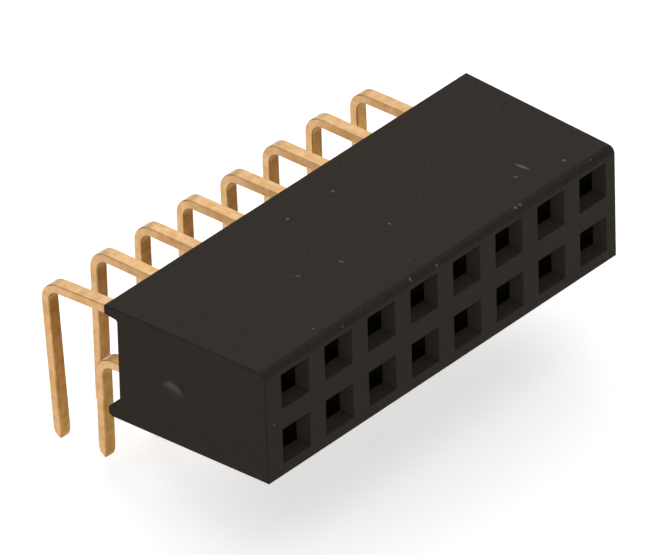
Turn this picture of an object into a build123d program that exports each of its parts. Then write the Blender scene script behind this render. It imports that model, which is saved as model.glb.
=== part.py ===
from build123d import *
from math import radians, tan
import os

# Right-angle pin socket: one moulded housing and two rows of eight spring contacts.
# Frame: millimetres, +Z up, origin on the board face midway between the first and last
# columns and midway between the mating face and the back wall.
# +X runs along the rows, the mating face looks towards -Y and the tails leave towards +Y.

# Grid of positions
PITCH = 2.54
COLUMNS = 8
LOWER_ROW_HEIGHT = 1.31

# Housing block, with the draft that lets it leave its mould
FIRST_COLUMN_INSET = 1.73
LAST_COLUMN_INSET = 1.42
BODY_HEIGHT = 5.10
BODY_DEPTH = 7.44
END_DRAFT = 2.4
TOP_DRAFT = 0.6
FRONT_EDGE_RADIUS = 0.33
END_EDGE_BREAK = 0.06

# Ledges that run the whole length of the back wall
TOP_LEDGE_REACH = 0.64
TOP_LEDGE_THICKNESS = 0.46
TOP_LEDGE_SLOPE = 0.08
TOP_LEDGE_RADIUS = 0.12
TOP_ROOT_RADIUS = 0.08
BOTTOM_LEDGE_REACH = 0.60
BOTTOM_LEDGE_THICKNESS = 0.56
BOTTOM_ROOT_RADIUS = 0.30

# Low dome that the moulding gate leaves on one end
GATE_MARK_RADIUS = 0.45
GATE_MARK_HEIGHT = 0.09
GATE_MARK_DEPTH = 4.50
GATE_MARK_LEVEL = 2.57

# Cavity behind each opening
OPENING_SIZE = 1.62
OPENING_TAPER = 33.0
FRONT_WALL = 0.46
CHANNEL_WIDTH = 1.76
CHANNEL_HEIGHT = 1.56
GROOVE_SPAN = 2.10
GROOVE_LENGTH = 2.00
GROOVE_CLEARANCE = 0.03

# Fork of each contact, seen from above
STRIP_THICKNESS = 0.40
SIDE_CLEARANCE = 0.05
TIP_SETBACK = 1.05
MOUTH_GAP = 1.00
PINCH_GAP = 0.50
PINCH_SETBACK = 0.70
THROAT_GAP = 0.84
THROAT_SETBACK = 1.50
TINE_TIP_WIDTH = 0.22
TINE_PINCH_WIDTH = 0.40
TINE_ROOT_LENGTH = 0.80
FORK_WIDTH = 1.62

# Step by which the strip drops from the fork to the level of its plate and tail
STEP_HEIGHT = 0.35
STEP_LENGTH = 0.55
STEP_SETBACK = 0.10

# Plate with the barbs that bite into the ends of the grooves, and its shoulders
PLATE_LENGTH = 1.20
PLATE_SETBACK = 0.30
SHOULDER_LENGTH = 0.30
BARB_COUNT = 2
BARB_LENGTH = 0.34
BARB_SPACING = 0.55
BARB_OFFSET = 0.12

# Bent tails: the upper runs leave the housing level, the lower ones slope down by some degrees
TAIL_WIDTH = 0.60
LOWER_TAIL_REACH = 2.50
UPPER_SLOPE = 0.0
LOWER_SLOPE = 3.5
BEND_RADIUS = 0.71
EXIT_RADIUS = 2.00
TAIL_DROP = 3.86
EDGE_BREAK = 0.04

# Tip of a tail: length of its steps, how far each draws in all round, and the cut on the outer side
TIP_STEPS = [0.22, 0.20]
TIP_INSETS = [0.01, 0.05]
TIP_CUTS = [0.05, 0.19]

# Bending errors: sag of each run below its slope in degrees, and how much late each bend comes
UPPER_SAG = [3.5, 0.2, 0.6, 0.9, 1.6, 0.8, 0.2, 1.2]
LOWER_SAG = [0.3, 0.0, 0.2, 0.1, 0.3, 0.0, 0.1, 0.2]
UPPER_LATENESS = [0.30, 0.08, 0.02, 0.05, -0.02, 0.01, -0.03, -0.19]
LOWER_LATENESS = [0.08, 0.0, 0.03, -0.02, 0.0, 0.02, 0.0, -0.03]

# Values that follow from the sizes above
UPPER_ROW_HEIGHT = LOWER_ROW_HEIGHT + PITCH
UPPER_TAIL_REACH = LOWER_TAIL_REACH + PITCH
GRID_HALF = (COLUMNS - 1) * PITCH / 2
LEFT_END = -GRID_HALF - FIRST_COLUMN_INSET
RIGHT_END = GRID_HALF + LAST_COLUMN_INSET
FRONT = -BODY_DEPTH / 2
BACK = BODY_DEPTH / 2
LEDGE_TIP = BACK + TOP_LEDGE_REACH
PLATE_BACK = BACK - PLATE_SETBACK
SHOULDER = PLATE_BACK - SHOULDER_LENGTH
PLATE_FRONT = SHOULDER - PLATE_LENGTH
STEP_FRONT = PLATE_FRONT - STEP_LENGTH
FORK_ROOT = STEP_FRONT - STEP_SETBACK
FORK_TIPS = FRONT + TIP_SETBACK
PLATE_WIDTH = GROOVE_SPAN - 2 * SIDE_CLEARANCE
GROOVE_HEIGHT = STRIP_THICKNESS + 2 * GROOVE_CLEARANCE


def column_place(column):
    """Distance of a column's axis from the middle of the grid."""
    return column * PITCH - GRID_HALF


def side_outline():
    """Outline of the housing seen from its end, with both ledges and the rounded front edge."""
    back_height = BODY_HEIGHT + (LEDGE_TIP - FRONT) * tan(radians(TOP_DRAFT))
    ledge_under = back_height - TOP_LEDGE_THICKNESS
    bottom_tip = BACK + BOTTOM_LEDGE_REACH
    nose_radius = 0.45 * BOTTOM_LEDGE_THICKNESS
    corners = [
        (FRONT, 0, 0),
        (bottom_tip, 0, nose_radius),
        (bottom_tip, BOTTOM_LEDGE_THICKNESS, nose_radius),
        (BACK, BOTTOM_LEDGE_THICKNESS, BOTTOM_ROOT_RADIUS),
        (BACK, ledge_under - TOP_LEDGE_SLOPE, TOP_ROOT_RADIUS),
        (LEDGE_TIP, ledge_under, TOP_LEDGE_RADIUS),
        (LEDGE_TIP, back_height, TOP_LEDGE_RADIUS),
        (FRONT, BODY_HEIGHT, FRONT_EDGE_RADIUS),
    ]
    return rounded_face(corners)


def rounded_face(corners):
    """Closed face through (x, y, radius) corners, each rounded by its own radius."""
    points = [(x, y) for x, y, radius in corners]
    outline = FilletPolyline(*points, radius=[radius for x, y, radius in corners], close=True)
    return make_face(outline)


def plan_outline():
    """Outline of the housing seen from above, widened towards the back by the end draft."""
    flare = (LEDGE_TIP - FRONT) * tan(radians(END_DRAFT))
    corners = [
        (LEFT_END, FRONT),
        (RIGHT_END, FRONT),
        (RIGHT_END + flare, LEDGE_TIP),
        (LEFT_END - flare, LEDGE_TIP),
    ]
    return make_face(Polyline(*corners, close=True))


def gate_mark():
    """Ball whose cap stands out of the left end as the gate mark."""
    ball_radius = (GATE_MARK_RADIUS**2 + GATE_MARK_HEIGHT**2) / (2 * GATE_MARK_HEIGHT)
    wall = LEFT_END - GATE_MARK_DEPTH * tan(radians(END_DRAFT))
    centre = wall + ball_radius - GATE_MARK_HEIGHT
    return Pos(centre, FRONT + GATE_MARK_DEPTH, GATE_MARK_LEVEL) * Sphere(ball_radius)


def cavity():
    """Space for one contact: tapered opening, pin channel and the grooves that hold the plate."""
    face = Plane(origin=(0, FRONT, 0), x_dir=(-1, 0, 0), z_dir=(0, 1, 0))
    mouth = Rectangle(OPENING_SIZE, OPENING_SIZE)
    opening = extrude(face * mouth, amount=FRONT_WALL, taper=OPENING_TAPER)
    channel = Rectangle(CHANNEL_WIDTH, CHANNEL_HEIGHT)
    groove = Pos(0, -STEP_HEIGHT) * Rectangle(GROOVE_SPAN, GROOVE_HEIGHT)
    depth = LEDGE_TIP - FRONT
    space = opening + extrude(face.offset(FRONT_WALL) * channel, amount=depth - FRONT_WALL)
    groove_start = BACK - FRONT - GROOVE_LENGTH
    return space + extrude(face.offset(groove_start) * groove, amount=depth - groove_start)


def housing():
    """Moulded block: side and plan outlines crossed, then sixteen cavities cut from it."""
    half_span = RIGHT_END - LEFT_END
    block = extrude(Plane.YZ * side_outline(), amount=half_span, both=True)
    block &= extrude(plan_outline(), amount=2 * BODY_HEIGHT)
    ends = block.faces().sort_by(Axis.X)
    block = chamfer(ends[0].edges() + ends[-1].edges(), length=END_EDGE_BREAK)
    block += gate_mark()
    cutter = cavity()
    for height in (LOWER_ROW_HEIGHT, UPPER_ROW_HEIGHT):
        for column in range(COLUMNS):
            block -= Pos(column_place(column), 0, height) * cutter
    return block


def barb_corners(start):
    """Right-hand corners of the barbs: each ramps out to the groove's end and steps back."""
    corners = []
    for barb in range(BARB_COUNT):
        foot = start + barb * BARB_SPACING
        tip = foot + BARB_LENGTH
        corners.append((PLATE_WIDTH / 2, foot, 0))
        corners.append((GROOVE_SPAN / 2, tip, 0))
        corners.append((PLATE_WIDTH / 2, tip, 0))
    return corners


def contact_outline():
    """Contact seen from above: two tines that pinch a pin, then the barbed plate and its shoulders."""
    pinch = FORK_TIPS + PINCH_SETBACK
    right = [
        (THROAT_GAP / 2, FORK_ROOT, 0.49 * THROAT_GAP),
        (THROAT_GAP / 2, FORK_TIPS + THROAT_SETBACK, 0.8),
        (PINCH_GAP / 2, pinch, 0.4),
        (MOUTH_GAP / 2, FORK_TIPS, 0),
        (MOUTH_GAP / 2 + TINE_TIP_WIDTH, FORK_TIPS, 0),
        (PINCH_GAP / 2 + TINE_PINCH_WIDTH, pinch, 0.8),
        (FORK_WIDTH / 2, FORK_ROOT - TINE_ROOT_LENGTH, 0.8),
        (FORK_WIDTH / 2, PLATE_FRONT, 0),
    ]
    right += barb_corners(PLATE_FRONT + BARB_OFFSET)
    right += [
        (PLATE_WIDTH / 2, SHOULDER, 0),
        (TAIL_WIDTH / 2, PLATE_BACK, 0),
    ]
    left = [(-x, y, radius) for x, y, radius in reversed(right)]
    return rounded_face(right + left)


def stepped_strip(height):
    """Strip as wide as the grooves, flat through the fork and stepped down to its plate."""
    plate_height = height - STEP_HEIGHT
    corners = [
        (FORK_TIPS, height),
        (STEP_FRONT, height),
        (PLATE_FRONT, plate_height),
        (PLATE_BACK, plate_height),
    ]
    path = Plane.YZ * Polyline(*corners)
    start = Plane(origin=path @ 0, x_dir=(1, 0, 0), z_dir=path % 0)
    strip = start * Rectangle(GROOVE_SPAN, STRIP_THICKNESS)
    return sweep(strip, path=path, transition=Transition.RIGHT)


def tail_path(height, reach, slope, lateness, sag):
    """Middle line of a tail, from its plate through its bend down to where the tip begins.
    A bend that comes late leaves that much less strip for the leg."""
    neck = Line((PLATE_BACK, height), (BACK, height))
    sagging = JernArc(start=neck @ 1, tangent=neck % 1, radius=EXIT_RADIUS, arc_size=-slope - sag)
    level = (reach + lateness - BEND_RADIUS) * (sagging % 1)
    run = Line(sagging @ 1, sagging @ 1 + level)
    bend = JernArc(start=run @ 1, tangent=run % 1, radius=BEND_RADIUS, arc_size=slope - 90)
    run_height = height - reach * tan(radians(slope)) - lateness
    drop = (run_height + TAIL_DROP - BEND_RADIUS - sum(TIP_STEPS)) * (bend % 1)
    leg = Line(bend @ 1, bend @ 1 + drop)
    return Plane.YZ * Curve([neck, sagging, run, bend, leg])


def strip_section(place, inset=0, cut=0):
    """Cross-section of the strip with its four edges broken, smaller by the inset all round and
    by the cut on its outer side."""
    strip = Rectangle(TAIL_WIDTH - 2 * inset, STRIP_THICKNESS - 2 * inset - cut)
    return place * Pos(0, cut / 2) * chamfer(strip.vertices(), length=EDGE_BREAK)


def tail_tip(end):
    """Tip that draws in step by step, most on the outer side, to enter its hole."""
    sections = [strip_section(end)]
    for step, (inset, cut) in enumerate(zip(TIP_INSETS, TIP_CUTS)):
        sections.append(strip_section(end.offset(sum(TIP_STEPS[: step + 1])), inset, cut))
    return loft(sections, ruled=True)


def contact(height, reach, slope, lateness, sag):
    """One contact: stepped fork and plate, swept tail and its tip."""
    blank = stepped_strip(height) & extrude(contact_outline(), amount=2 * BODY_HEIGHT)
    path = tail_path(height - STEP_HEIGHT, reach, slope, lateness, sag)
    start = Plane(origin=path @ 0, x_dir=(1, 0, 0), z_dir=path % 0)
    tail = sweep(strip_section(start), path=path)
    end = Plane(origin=path @ 1, x_dir=(1, 0, 0), z_dir=path % 1)
    return blank + tail + tail_tip(end)


def contact_row(name, height, reach, slope, lateness, sags):
    """Named contacts of one row, each with its own bending errors."""
    row = {}
    for column in range(COLUMNS):
        error = column % len(sags)
        piece = contact(height, reach, slope, lateness[error], sags[error])
        row[f"{name}_{column + 1}"] = Pos(column_place(column), 0, 0) * piece
    return row


pieces = {"housing": housing()}
pieces |= contact_row(
    "contact_lower", LOWER_ROW_HEIGHT, LOWER_TAIL_REACH, LOWER_SLOPE, LOWER_LATENESS, LOWER_SAG
)
pieces |= contact_row(
    "contact_upper", UPPER_ROW_HEIGHT, UPPER_TAIL_REACH, UPPER_SLOPE, UPPER_LATENESS, UPPER_SAG
)

os.makedirs("parts", exist_ok=True)
for node, piece in pieces.items():
    export_step(piece, f"parts/{node}.step")
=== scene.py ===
import bpy
import numpy as np
from mathutils import Matrix, Vector


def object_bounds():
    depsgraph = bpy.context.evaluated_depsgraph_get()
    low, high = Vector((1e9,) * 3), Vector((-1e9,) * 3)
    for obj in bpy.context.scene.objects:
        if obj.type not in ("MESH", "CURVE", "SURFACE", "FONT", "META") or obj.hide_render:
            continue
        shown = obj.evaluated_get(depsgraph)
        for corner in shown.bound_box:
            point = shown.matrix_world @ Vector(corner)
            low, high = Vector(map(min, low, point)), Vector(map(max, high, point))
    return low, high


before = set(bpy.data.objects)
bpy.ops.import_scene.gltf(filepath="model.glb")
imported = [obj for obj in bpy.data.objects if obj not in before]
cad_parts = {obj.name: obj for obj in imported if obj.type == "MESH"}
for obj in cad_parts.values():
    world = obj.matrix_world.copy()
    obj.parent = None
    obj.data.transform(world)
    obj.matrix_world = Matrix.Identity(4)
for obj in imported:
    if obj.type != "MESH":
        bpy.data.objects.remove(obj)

cad_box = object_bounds()
MM = 0.001

# Camera, found by fitting the corners of the block and the sixteen openings.
AZIMUTH = -47.958           # degrees from looking along +Y
ELEVATION = 33.440          # degrees above the board
ROLL = 1.589                # degrees
AIM = Vector((0.1846, 2.3462, 1.5587)) * MM
DISTANCE = 521.78 * MM
FOCAL_PIXELS = 13249.2
FRAME_WIDTH = 666.0         # pixels
SENSOR_WIDTH = 36.0         # mm
NEAREST, FARTHEST = 0.01, 10.0      # m

# Paper floor: half its side (m), and the share of its brightness that is its own glow.
PAPER_HALF_SIDE = 2.0
PAPER_GLOW = 0.62

# Lamps, all turned to the part: name, side of the square (m), power (W) and place (m).
# The overhead one lights the top and the paper, the side fill, left panel and right front card
# light the faces towards the eye, and the contacts' flat tops reflect the two at the back.
SOFT_BOXES = [
    ("overhead softbox", 1.15, 3.15, (-0.03, 0.14, 0.50)),
    ("side fill", 0.5, 0.74, (-0.43, -0.65, 0.14)),
    ("left panel", 0.4, 0.27, (-0.62, 0.42, 0.16)),
    ("right front card", 0.4, 0.26, (0.42, -0.45, 0.22)),
    ("rear softbox", 0.46, 0.28, (0.30, 0.27, 0.45)),
    ("back panel", 0.8, 1.3, (0.46, 0.46, 0.17)),
]
ROOM_LIGHT = 0.045          # strength of the plain white surround

# Sockets of a Mix node that mixes colours: factor, first colour, second colour and result.
MIX_SHARE, MIX_FIRST, MIX_SECOND, MIX_RESULT = 0, 6, 7, 2

# Values between which most of a noise lies.
NOISE_LOW, NOISE_HIGH = 0.3, 0.7

# Black plastic: widths and depth of its patterns (mm), how much of its tone each pattern
# decides, the share of the depth that shows as relief, and its tones. Eroded pits are about
# 0.03 mm wide, too fine to show in the picture, so the grain is drawn at 0.10 mm.
GRAIN_WIDTH = 0.10
GRAIN_SHARE = 0.56
GRAIN_DEPTH = 0.006
GRAIN_RELIEF = 0.25
CLOUD_WIDTH = 1.6
CLOUD_SHARE = 0.24
RESIN_TONES = [(0.15, "2D2822"), (0.65, "473F37")]
# Pale tone of scuffs and dust, which is also the tone of the painted highlight on the gate.
PALE_SCUFF_AND_HIGHLIGHT_TONE = "A39D94"
DULLEST, SHINIEST = 0.62, 0.50      # roughness of the moulded skin

# Painted shade, a dark line along the rounding between top and mating face: a point on it and
# its half width (mm), how much its width wanders in half widths and over what length (mm), and its
# tone.
LINE_MIDDLE = (0.0, -3.44, 5.08)
LINE_HALF_WIDTH = 0.10
LINE_WANDER = 1.6
LINE_WANDER_LENGTH = 0.35
LINE_SHADE_TONE = "1B1713"
LINE_STRENGTH = 0.34
ENDLESS = 1000.0            # m, so long that the line has no end

# Scratch, smudges and specks: middle, reach along x, y and z (mm), and turn about z (degrees).
MARKS = [
    ((6.85, -1.83, 5.12), (0.10, 0.42, 0.2), 5),
    ((6.13, -2.11, 5.12), (0.13, 0.06, 0.2), -40),
    ((8.245, -2.81, 5.11), (0.10, 0.11, 0.2), 0),
    ((4.49, -3.50, 5.10), (0.11, 0.10, 0.2), 0),
    ((4.76, -3.50, 5.10), (0.10, 0.09, 0.2), 20),
    ((8.99, -3.55, 5.10), (0.06, 0.05, 0.2), 0),
    ((0.44, -0.48, 5.13), (0.06, 0.10, 0.2), 0),
    ((0.74, 2.73, 5.17), (0.07, 0.12, 0.2), 0),
    ((-2.78, -0.78, 5.13), (0.06, 0.16, 0.2), 10),
    ((-1.87, 2.81, 5.17), (0.12, 0.08, 0.2), 0),
    ((-4.62, -0.16, 5.14), (0.17, 0.05, 0.2), -50),
    ((-6.99, -3.02, 5.11), (0.06, 0.06, 0.2), 0),
    ((-6.00, -3.68, 5.08), (0.12, 0.07, 0.2), 0),
    ((-1.93, -3.60, 5.03), (0.07, 0.12, 0.12), 0),
    ((-0.44, -3.68, 4.95), (0.08, 0.10, 0.10), 0),
    ((-10.18, -3.72, 2.58), (0.06, 0.2, 0.07), 0),
]
MARK_CORE = 0.3             # share of its reach within which a mark is at its palest
MARK_PALENESS = 0.42

# Fine dust: spacing of its cells (mm), a dot's radius at its rim and at its full strength (in
# cells), the cell value from which one holds a dot, and how pale the palest is.
DUST_SPACING = 1.3
DUST_RIM, DUST_CORE = 0.07, 0.02
DUSTY_CELLS = 0.4
DUST_PALENESS = 0.12

# Painted highlight on the torn gate on the left end, a pale ring that is lit on its upper side:
# its middle and its reach along x, y and z (mm), the radii of its pale ring as shares of the
# reach, the side that shows pale, and where it fades out.
GATE_MIDDLE = (-10.81, 0.93, 2.25)
GATE_REACH = (1.0, 0.72, 0.72)
GATE_RING = [(0.36, "000000"), (0.70, "FFFFFF"), (1.00, "000000")]
GATE_LIGHT_SIDE = (0.0, -0.12, 0.99)
GATE_FADED, GATE_FULL = 0.20, 0.75
GATE_HIGHLIGHT_PALENESS = 0.34

# Gold plating: widths and depth of its patterns (mm), how much the lines count beside the
# stains, the share of the depth that shows as relief, and its tones. The strip's rolling lines
# are about 0.02 mm wide, too fine to show, so they are drawn at 0.09 mm.
STAIN_WIDTH = 0.45
ROLLING_LINES = (0.09, 1.4, 1.4)    # across the strip (x) and along it (y and z)
LINES_SHARE = 0.5
PLATING_DEPTH = 0.004
PLATING_RELIEF = 0.3
TINT_SPREAD = 0.32          # how far the tint strays; 0.5 keeps all of the pattern's contrast
GOLD_TONES = [(0.15, "96703A"), (0.40, "B3864A"), (0.55, "C5995F"), (0.75, "D6AB78"),
              (0.95, "E4BF93")]
ROLLED_ROUGHNESS = (0.28, 0.40)
SHEARED_EXTRA = 0.12        # added roughness of the sheared edges

# Painted shade: the side of a contact that faces -y and -z, the front of the leg and the underside
# of the run, is drawn browner; that side, where the browning starts and is full, and how much
# browner it is.
SHADED_SIDE = (0.0, -1.0, -1.0)
SHADE_START, SHADE_FULL = 0.3, 0.9
PAINTED_SHADE_BROWNING = -0.45


def linear(hex_colour):
    """sRGB hex text turned to a linear colour with alpha."""
    srgb = np.array([int(hex_colour[i:i + 2], 16) for i in (0, 2, 4)]) / 255
    rgb = np.where(srgb <= 0.04045, srgb / 12.92, ((srgb + 0.055) / 1.055) ** 2.4)
    return (*rgb.tolist(), 1.0)


def metres(lengths):
    """Lengths in mm turned to metres."""
    return [length * MM for length in lengths]


def add_node(tree, kind, settings=None, links=None, stops=()):
    """Adds a node, sets what settings names (sockets or attributes), links the inputs that
    links names, and gives a ramp its stops (position and sRGB hex colour)."""
    node = tree.nodes.new("ShaderNode" + kind)
    for key, value in (settings or {}).items():
        if isinstance(key, int) or key in node.inputs:
            node.inputs[key].default_value = value
        else:
            setattr(node, key, value)
    for key, output in (links or {}).items():
        tree.links.new(output, node.inputs[key])
    for index, (position, colour) in enumerate(stops):
        elements = node.color_ramp.elements
        element = elements[index] if index < len(elements) else elements.new(1.0)
        element.position = position
        element.color = linear(colour)
    return node


def blank(name):
    """A new material with its node tree emptied, and its output node."""
    material = bpy.data.materials.new(name)
    material.use_nodes = True
    tree = material.node_tree
    tree.nodes.clear()
    return material, tree, add_node(tree, "OutputMaterial")


def painted_shade_line(tree, place):
    """Strength of the painted shade line along the rounding: a rod along x that a noise widens,
    narrows and breaks off.
    """
    width = LINE_HALF_WIDTH * MM
    rod = add_node(tree, "Mapping", {
        "vector_type": "TEXTURE", "Location": metres(LINE_MIDDLE),
        "Scale": (ENDLESS, width, width)}, {"Vector": place})
    off_rod = add_node(tree, "VectorMath", {"operation": "LENGTH"}, {0: rod.outputs["Vector"]})
    wander = add_node(tree, "TexNoise", {
        "Scale": 1 / (LINE_WANDER_LENGTH * MM), "Detail": 2.0, "Roughness": 0.5},
        {"Vector": place})
    off_rod = add_node(tree, "Math", {"operation": "MULTIPLY_ADD", 1: LINE_WANDER},
                       {0: wander.outputs["Fac"], 2: off_rod.outputs["Value"]})
    shade_strength = add_node(tree, "MapRange", {
        "From Min": 1.0 + LINE_WANDER / 2, "From Max": LINE_WANDER / 2,
        "To Min": 0.0, "To Max": LINE_STRENGTH}, {"Value": off_rod.outputs["Value"]})
    return shade_strength.outputs["Result"]


def marks_paleness(tree, place):
    """Paleness of the marks, from how near the closest one is. Each is measured from its
    middle in shares of its reach, so that it ends at 1."""
    nearest = None
    for spot, reach, turn in MARKS:
        ball = add_node(tree, "Mapping", {
            "vector_type": "TEXTURE", "Location": metres(spot), "Scale": metres(reach),
            "Rotation": (0, 0, np.radians(turn))}, {"Vector": place})
        away = add_node(tree, "VectorMath", {"operation": "LENGTH"}, {0: ball.outputs["Vector"]})
        if nearest is not None:
            away = add_node(tree, "Math", {"operation": "MINIMUM"},
                            {0: nearest, 1: away.outputs["Value"]})
        nearest = away.outputs["Value"]
    marks = add_node(tree, "MapRange", {
        "From Min": 1.0, "From Max": MARK_CORE, "To Min": 0.0, "To Max": MARK_PALENESS},
        {"Value": nearest})
    return marks.outputs["Result"]


def dust_paleness(tree, place, marks):
    """Adds fine dust to the marks: a small dot at the middle of some cells of a pattern."""
    cells = add_node(tree, "TexVoronoi", {"Scale": 1 / (DUST_SPACING * MM), "Randomness": 1.0},
                     {"Vector": place})
    dot = add_node(tree, "MapRange", {
        "From Min": DUST_RIM, "From Max": DUST_CORE, "To Min": 0.0, "To Max": 1.0},
        {"Value": cells.outputs["Distance"]})
    share = add_node(tree, "MapRange", {
        "From Min": DUSTY_CELLS, "From Max": 1.0, "To Min": 0.0, "To Max": DUST_PALENESS},
        {"Value": cells.outputs["Color"]})
    paleness = add_node(tree, "Math", {"operation": "MULTIPLY_ADD"},
                        {0: dot.outputs["Result"], 1: share.outputs["Result"], 2: marks})
    return paleness.outputs["Value"]


def gate_painted_highlight(tree, place, paleness):
    """Adds the gate's crescent of painted highlight: a ring around its middle, pale on the lit
    upper side, that fades out downwards.
    """
    gate = add_node(tree, "Mapping", {
        "vector_type": "TEXTURE", "Location": metres(GATE_MIDDLE), "Scale": metres(GATE_REACH)},
        {"Vector": place})
    radius = add_node(tree, "VectorMath", {"operation": "LENGTH"}, {0: gate.outputs["Vector"]})
    ring = add_node(tree, "ValToRGB", None, {"Fac": radius.outputs["Value"]}, GATE_RING)
    upward = add_node(tree, "VectorMath", {"operation": "DOT_PRODUCT", 1: GATE_LIGHT_SIDE},
                      {0: gate.outputs["Vector"]})
    side = add_node(tree, "MapRange", {
        "From Min": GATE_FADED, "From Max": GATE_FULL, "To Min": 0.0, "To Max": GATE_HIGHLIGHT_PALENESS},
        {"Value": upward.outputs["Value"]})
    paleness = add_node(tree, "Math", {"operation": "MULTIPLY_ADD"},
                        {0: ring.outputs["Color"], 1: side.outputs["Result"], 2: paleness})
    return paleness.outputs["Value"]


def moulded_thermoplastic():
    """Black glass-filled polyester, injection moulded in a spark-eroded cavity.
    The eroded steel leaves a fine satin grain, the resin skin is faintly cloudy and handling
    leaves dust and scuffs. A dark line of painted shade runs along the rounding at the top's front
    edge, and a pale crescent of painted highlight lies on the upper side of the torn-off gate."""
    material, tree, out = blank("black glass-filled polyester, injection moulded")
    place = add_node(tree, "TexCoord").outputs["Object"]
    grain = add_node(tree, "TexNoise", {
        "Scale": 1 / (GRAIN_WIDTH * MM), "Detail": 3.0, "Roughness": 0.6}, {"Vector": place})
    cloud = add_node(tree, "TexNoise", {
        "Scale": 1 / (CLOUD_WIDTH * MM), "Detail": 2.0, "Roughness": 0.5}, {"Vector": place})

    clouded = add_node(tree, "Math", {"operation": "MULTIPLY", 1: CLOUD_SHARE},
                       {0: cloud.outputs["Fac"]})
    tone = add_node(tree, "Math", {"operation": "MULTIPLY_ADD", 1: GRAIN_SHARE},
                    {0: grain.outputs["Fac"], 2: clouded.outputs["Value"]})
    resin = add_node(tree, "ValToRGB", None, {"Fac": tone.outputs["Value"]}, RESIN_TONES)
    # The dark line along the rounding is painted shade, laid over the resin's tones.
    lined = add_node(tree, "Mix", {"data_type": "RGBA", MIX_SECOND: linear(LINE_SHADE_TONE)},
                     {MIX_SHARE: painted_shade_line(tree, place), MIX_FIRST: resin.outputs["Color"]})
    paleness = dust_paleness(tree, place, marks_paleness(tree, place))
    # The gate's pale crescent is painted highlight.
    paleness = gate_painted_highlight(tree, place, paleness)
    # Scuffs and dust, and the gate's painted highlight, turn the colour pale.
    colour = add_node(tree, "Mix", {"data_type": "RGBA", MIX_SECOND: linear(PALE_SCUFF_AND_HIGHLIGHT_TONE)},
                      {MIX_SHARE: paleness, MIX_FIRST: lined.outputs[MIX_RESULT]})

    relief = add_node(tree, "Bump", {"Strength": GRAIN_RELIEF, "Distance": GRAIN_DEPTH * MM},
                      {"Height": grain.outputs["Fac"]})
    rough = add_node(tree, "MapRange", {
        "From Min": NOISE_LOW, "From Max": NOISE_HIGH, "To Min": SHINIEST, "To Max": DULLEST},
        {"Value": cloud.outputs["Fac"]})
    skin = add_node(tree, "BsdfPrincipled", {
        "IOR": 1.5, "Specular IOR Level": 0.05, "Metallic": 0.0},
        {"Base Color": colour.outputs[MIX_RESULT], "Roughness": rough.outputs["Result"],
         "Normal": relief.outputs["Normal"]})
    tree.links.new(skin.outputs["BSDF"], out.inputs["Surface"])
    return material


def gold_plating():
    """Gold flash over nickel on phosphor bronze strip, rolled, stamped and bent.
    The satin flash of plating keeps the strip's rolling lines, so reflections are soft and a
    little streaky along the strip. The faces towards -y and -z get a browner tone of painted
    shade."""
    material, tree, out = blank("gold-plated phosphor bronze, stamped strip")
    place = add_node(tree, "TexCoord").outputs["Object"]
    stains = add_node(tree, "TexNoise", {
        "Scale": 1 / (STAIN_WIDTH * MM), "Detail": 3.0, "Roughness": 0.6}, {"Vector": place})

    # The rolling lines run along the strip, so the pattern is fine only across it.
    along = add_node(tree, "Mapping", {"Scale": [1 / (width * MM) for width in ROLLING_LINES]},
                     {"Vector": place})
    lines = add_node(tree, "TexNoise", {"Scale": 1.0, "Detail": 2.0, "Roughness": 0.5},
                     {"Vector": along.outputs["Vector"]})
    pattern = add_node(tree, "Math", {"operation": "MULTIPLY_ADD", 1: LINES_SHARE},
                       {0: lines.outputs["Fac"], 2: stains.outputs["Fac"]})

    # Painted shade: the faces towards -y and -z are drawn browner, standing in for the shade and
    # the gold that they reflect.
    facing = add_node(tree, "TexCoord").outputs["Normal"]
    toward_shade = add_node(tree, "VectorMath", {"operation": "DOT_PRODUCT", 1: SHADED_SIDE},
                      {0: facing})
    shade_browning = add_node(tree, "MapRange", {
        "From Min": SHADE_START, "From Max": SHADE_FULL, "To Min": 0.0,
        "To Max": PAINTED_SHADE_BROWNING}, {"Value": toward_shade.outputs["Value"]})
    strayed = add_node(tree, "MapRange", {
        "From Min": 0.0, "From Max": 1.0 + LINES_SHARE, "To Min": 0.5 - TINT_SPREAD,
        "To Max": 1.0 + TINT_SPREAD}, {"Value": pattern.outputs["Value"]})
    # The tint is the pattern's tone plus the painted shade on the faces towards -y and -z.
    tint = add_node(tree, "Math", {"operation": "ADD"},
                    {0: strayed.outputs["Result"], 1: shade_browning.outputs["Result"]})
    colour = add_node(tree, "ValToRGB", None, {"Fac": tint.outputs["Value"]}, GOLD_TONES)

    # Sheared edges, which face along x, are rougher than the rolled faces.
    turned = add_node(tree, "VectorMath", {"operation": "ABSOLUTE"}, {0: facing})
    sheared = add_node(tree, "VectorMath", {
        "operation": "DOT_PRODUCT", 1: (SHEARED_EXTRA, 0.0, 0.0)}, {0: turned.outputs["Vector"]})
    smoothest, roughest = ROLLED_ROUGHNESS
    rolled = add_node(tree, "MapRange", {
        "From Min": NOISE_LOW, "From Max": NOISE_HIGH, "To Min": smoothest, "To Max": roughest},
        {"Value": lines.outputs["Fac"]})
    rough = add_node(tree, "Math", {"operation": "ADD"},
                     {0: rolled.outputs["Result"], 1: sheared.outputs["Value"]})
    relief = add_node(tree, "Bump", {"Strength": PLATING_RELIEF, "Distance": PLATING_DEPTH * MM},
                      {"Height": pattern.outputs["Value"]})
    plating = add_node(tree, "BsdfPrincipled", {"Metallic": 1.0},
                       {"Base Color": colour.outputs["Color"], "Roughness": rough.outputs["Value"],
                        "Normal": relief.outputs["Normal"]})
    tree.links.new(plating.outputs["BSDF"], out.inputs["Surface"])
    return material


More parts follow.
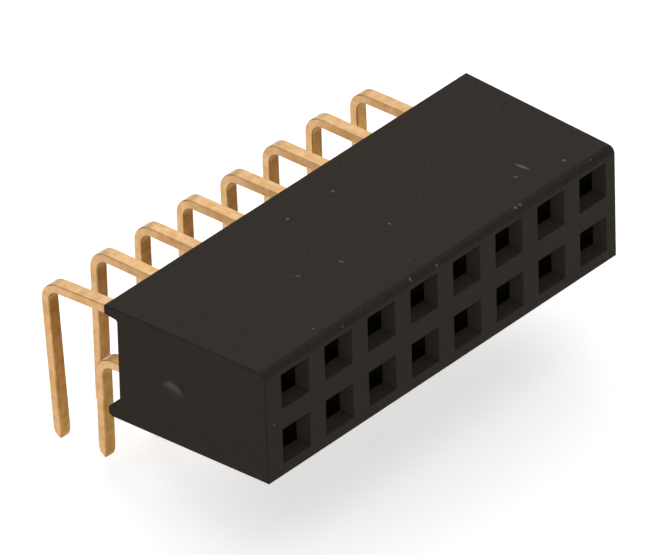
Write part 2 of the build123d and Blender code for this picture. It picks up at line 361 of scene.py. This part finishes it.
def studio_paper():
    """Matt white background paper, uncoated, laid flat under the part.
    Its own glow keeps it near white to the eye and in reflections, and only the rest of its
    brightness goes in the part's shadow. Seen from below it is clear, so that the underside
    of the part can be looked at."""
    material, tree, out = blank("matt white background paper")
    paper = add_node(tree, "BsdfDiffuse", {"Color": linear("F4F4F4")})
    path = add_node(tree, "LightPath")
    seen = add_node(tree, "Math", {"operation": "ADD"},
                    {0: path.outputs["Is Camera Ray"], 1: path.outputs["Is Glossy Ray"]})
    seen = add_node(tree, "Math", {"operation": "ADD"},
                    {0: seen.outputs["Value"], 1: path.outputs["Is Transmission Ray"]})
    level = add_node(tree, "Math", {"operation": "MULTIPLY", 1: PAPER_GLOW},
                     {0: seen.outputs["Value"]})
    glow = add_node(tree, "Emission", {"Color": linear("FFFFFF")},
                    {"Strength": level.outputs["Value"]})
    sheet = add_node(tree, "AddShader", None,
                     {0: paper.outputs["BSDF"], 1: glow.outputs["Emission"]})
    below = add_node(tree, "NewGeometry").outputs["Backfacing"]
    clear = add_node(tree, "BsdfTransparent")
    surface = add_node(tree, "MixShader", None,
                       {0: below, 1: sheet.outputs["Shader"], 2: clear.outputs["BSDF"]})
    tree.links.new(surface.outputs["Shader"], out.inputs["Surface"])
    return material


housing_skin = moulded_thermoplastic()
plating = gold_plating()
for name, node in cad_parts.items():
    node.data.materials.clear()
    node.data.materials.append(housing_skin if name == "housing" else plating)

# Paper floor at the tips of the tails: one square at the lowest level of the solids.
floor_level = cad_box[0][2]
half = PAPER_HALF_SIDE
corners = [(-half, -half), (half, -half), (half, half), (-half, half)]
sheet = bpy.data.meshes.new("paper_floor")
sheet.from_pydata([(x, y, floor_level) for x, y in corners], [], [(0, 1, 2, 3)])
sheet.materials.append(studio_paper())
floor = bpy.data.objects.new("paper_floor", sheet)
bpy.context.scene.collection.objects.link(floor)

for name, side, power, place in SOFT_BOXES:
    lamp = bpy.data.lights.new(name, "AREA")
    lamp.shape = "SQUARE"
    lamp.size = side
    lamp.energy = power
    soft_box = bpy.data.objects.new(name, lamp)
    bpy.context.scene.collection.objects.link(soft_box)
    soft_box.location = place
    soft_box.rotation_euler = (AIM - Vector(place)).to_track_quat("-Z", "Y").to_euler()

world = bpy.data.worlds.new("studio")
bpy.context.scene.world = world
world.use_nodes = True
room = world.node_tree
room.nodes.clear()
walls = add_node(room, "Background", {"Color": (1, 1, 1, 1), "Strength": ROOM_LIGHT})
add_node(room, "OutputWorld", None, {"Surface": walls.outputs["Background"]})

# The camera stands back along its azimuth and elevation, rolled by the small angle of the fit.
azimuth, elevation, roll = np.radians([AZIMUTH, ELEVATION, ROLL])
back = Vector((np.sin(azimuth) * np.cos(elevation),
               -np.cos(azimuth) * np.cos(elevation), np.sin(elevation)))
aim_turn = back.to_track_quat("Z", "Y").to_matrix().to_4x4()
lens = bpy.data.cameras.new("camera")
lens.sensor_width = SENSOR_WIDTH
lens.lens = FOCAL_PIXELS / FRAME_WIDTH * SENSOR_WIDTH
lens.clip_start = NEAREST
lens.clip_end = FARTHEST
camera = bpy.data.objects.new("camera", lens)
bpy.context.scene.collection.objects.link(camera)
stand = Matrix.Translation(AIM + back * DISTANCE)
camera.matrix_world = stand @ aim_turn @ Matrix.Rotation(-roll, 4, "Z")
bpy.context.scene.camera = camera
bpy.context.scene.view_settings.view_transform = "Standard"
